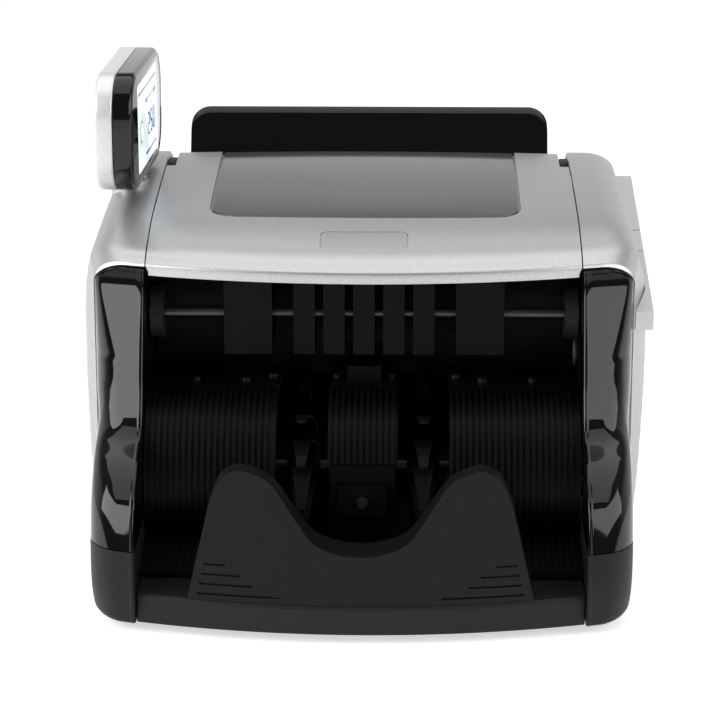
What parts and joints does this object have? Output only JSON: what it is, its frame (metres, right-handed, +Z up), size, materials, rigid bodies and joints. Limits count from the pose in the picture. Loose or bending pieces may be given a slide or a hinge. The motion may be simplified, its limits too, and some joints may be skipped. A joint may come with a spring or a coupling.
{
  "type": "banknote counting machine",
  "caption": "Desk-top note counter with a hinged top cover, rear hopper, paddle-wheel stacker behind a notched front stop, and a swivelling side display.",
  "frame": {"origin": "on the table plane, under the middle of the machine's overall box", "axes": "+X to the operator's right, +Y from the operator's side to the rear panel, +Z up"},
  "size_m": [0.272, 0.2825, 0.2285],
  "materials": {
    "silver": "silver metallic lacquer, satin gloss",
    "rail_silver": "light silver lacquer",
    "grey_plate": "grey, smooth gloss",
    "gloss_black": "piano black",
    "satin_black": "fine-textured black",
    "inner_black": "plain black moulding",
    "rear_black": "textured black",
    "screen_glass": "clear display window",
    "foot_rubber": "matt black rubber",
    "roller_rubber": "ground grey rubber",
    "belt_rubber": "flat belt",
    "plate_steel": "zinc-plated sheet",
    "bright_steel": "ground bright",
    "pulley_alloy": "turned",
    "board": "green solder mask"
  },
  "bodies": {
    "root": {"base_pan": "rear_black", "rubber_feet": "foot_rubber", "base_front": "satin_black", "left_skirt": "satin_black", "right_skirt": "satin_black", "left_cheek": "gloss_black", "right_cheek": "gloss_black", "left_side_cover": "silver", "right_side_cover": "silver", "side_rail": "rail_silver", "rear_panel": "rear_black", "left_frame": "plate_steel", "right_frame": "plate_steel", "tie_rods": "plate_steel", "hinge_pins": "bright_steel", "bill_stop": "satin_black", "stacker_floor": "inner_black", "left_guide": "inner_black", "centre_guide": "inner_black", "right_guide": "inner_black", "centre_bracket": "inner_black", "sensor_deck": "inner_black", "small_screws": "bright_steel", "sensor_block": "inner_black", "guide_comb": "inner_black", "shaft_bearings": "plate_steel", "drive_motor": "plate_steel", "drive_belt": "belt_rubber", "stacker_belt": "belt_rubber", "exit_belt": "belt_rubber", "pickup_belt": "belt_rubber", "hopper_deck": "inner_black", "backrest_knuckles": "satin_black", "display_socket": "silver", "main_board": "board", "power_inlet": "rear_black", "switch_body": "rear_black"},
    "cover": {"top_cover": "silver", "cover_inset": "grey_plate"},
    "stacker": {"stacker_shaft": "bright_steel", "left_stacker_wheel": "inner_black", "right_stacker_wheel": "inner_black", "stacker_pulley": "pulley_alloy"},
    "exit": {"exit_shaft": "bright_steel", "exit_rollers": "roller_rubber", "exit_pulley": "pulley_alloy"},
    "feed": {"feed_shaft": "bright_steel", "feed_rollers": "roller_rubber", "feed_pulleys": "pulley_alloy"},
    "pickup": {"pickup_shaft": "bright_steel", "pickup_rollers": "roller_rubber", "pickup_pulley": "pulley_alloy"},
    "motor": {"motor_pulley": "pulley_alloy"},
    "display": {"display_back": "silver", "display_front": "gloss_black", "display_screen": "screen_glass"},
    "backrest": {"hopper_backrest": "gloss_black"},
    "left_note_guide": {"left_hopper_guide": "inner_black"},
    "right_note_guide": {"right_hopper_guide": "inner_black"},
    "rocker": {"power_rocker": "rear_black"}
  },
  "joints": [
    {"name": "cover_hinge", "type": "hinge", "parent": "root", "child": "cover", "pos_m": [0, 0.088, 0.163], "axis": [-1, 0, 0], "range_deg": [0, 65]},
    {"name": "display_swivel", "type": "hinge", "parent": "root", "child": "display", "pos_m": [-0.116, 0.042, 0.17], "axis": [0, 0, 1], "range_deg": [-90, 0]},
    {"name": "backrest_tilt", "type": "hinge", "parent": "root", "child": "backrest", "pos_m": [0, 0.122, 0.1535], "axis": [-1, 0, 0], "range_deg": [-28, 0]},
    {"name": "left_guide_slide", "type": "slide", "parent": "root", "child": "left_note_guide", "axis": [1, 0, 0], "range_m": [0, 0.03]},
    {"name": "right_guide_slide", "type": "slide", "parent": "root", "child": "right_note_guide", "axis": [-1, 0, 0], "range_m": [0, 0.03]},
    {"name": "power_rocker_tilt", "type": "hinge", "parent": "root", "child": "rocker", "pos_m": [-0.035, 0.1175, 0.034], "axis": [0, 0, 1], "range_deg": [0, 14]},
    {"name": "feed_spin", "type": "hinge", "parent": "root", "child": "feed", "pos_m": [0, 0.02, 0.118], "axis": [1, 0, 0], "continuous": true},
    {"name": "stacker_spin", "type": "hinge", "parent": "root", "child": "stacker", "pos_m": [0, -0.047, 0.052], "axis": [1, 0, 0], "continuous": true},
    {"name": "exit_spin", "type": "hinge", "parent": "root", "child": "exit", "pos_m": [0, -0.029, 0.122], "axis": [1, 0, 0], "continuous": true},
    {"name": "pickup_spin", "type": "hinge", "parent": "root", "child": "pickup", "pos_m": [0, 0.084, 0.123], "axis": [1, 0, 0], "continuous": true},
    {"name": "motor_spin", "type": "hinge", "parent": "root", "child": "motor", "pos_m": [0, 0.06, 0.05], "axis": [1, 0, 0], "continuous": true}
  ],
  "couplings": [
    {"joint": "stacker_spin", "follows": "feed_spin", "ratio": 0.55},
    {"joint": "exit_spin", "follows": "feed_spin", "ratio": 1},
    {"joint": "pickup_spin", "follows": "feed_spin", "ratio": 1},
    {"joint": "motor_spin", "follows": "feed_spin", "ratio": 2}
  ]
}
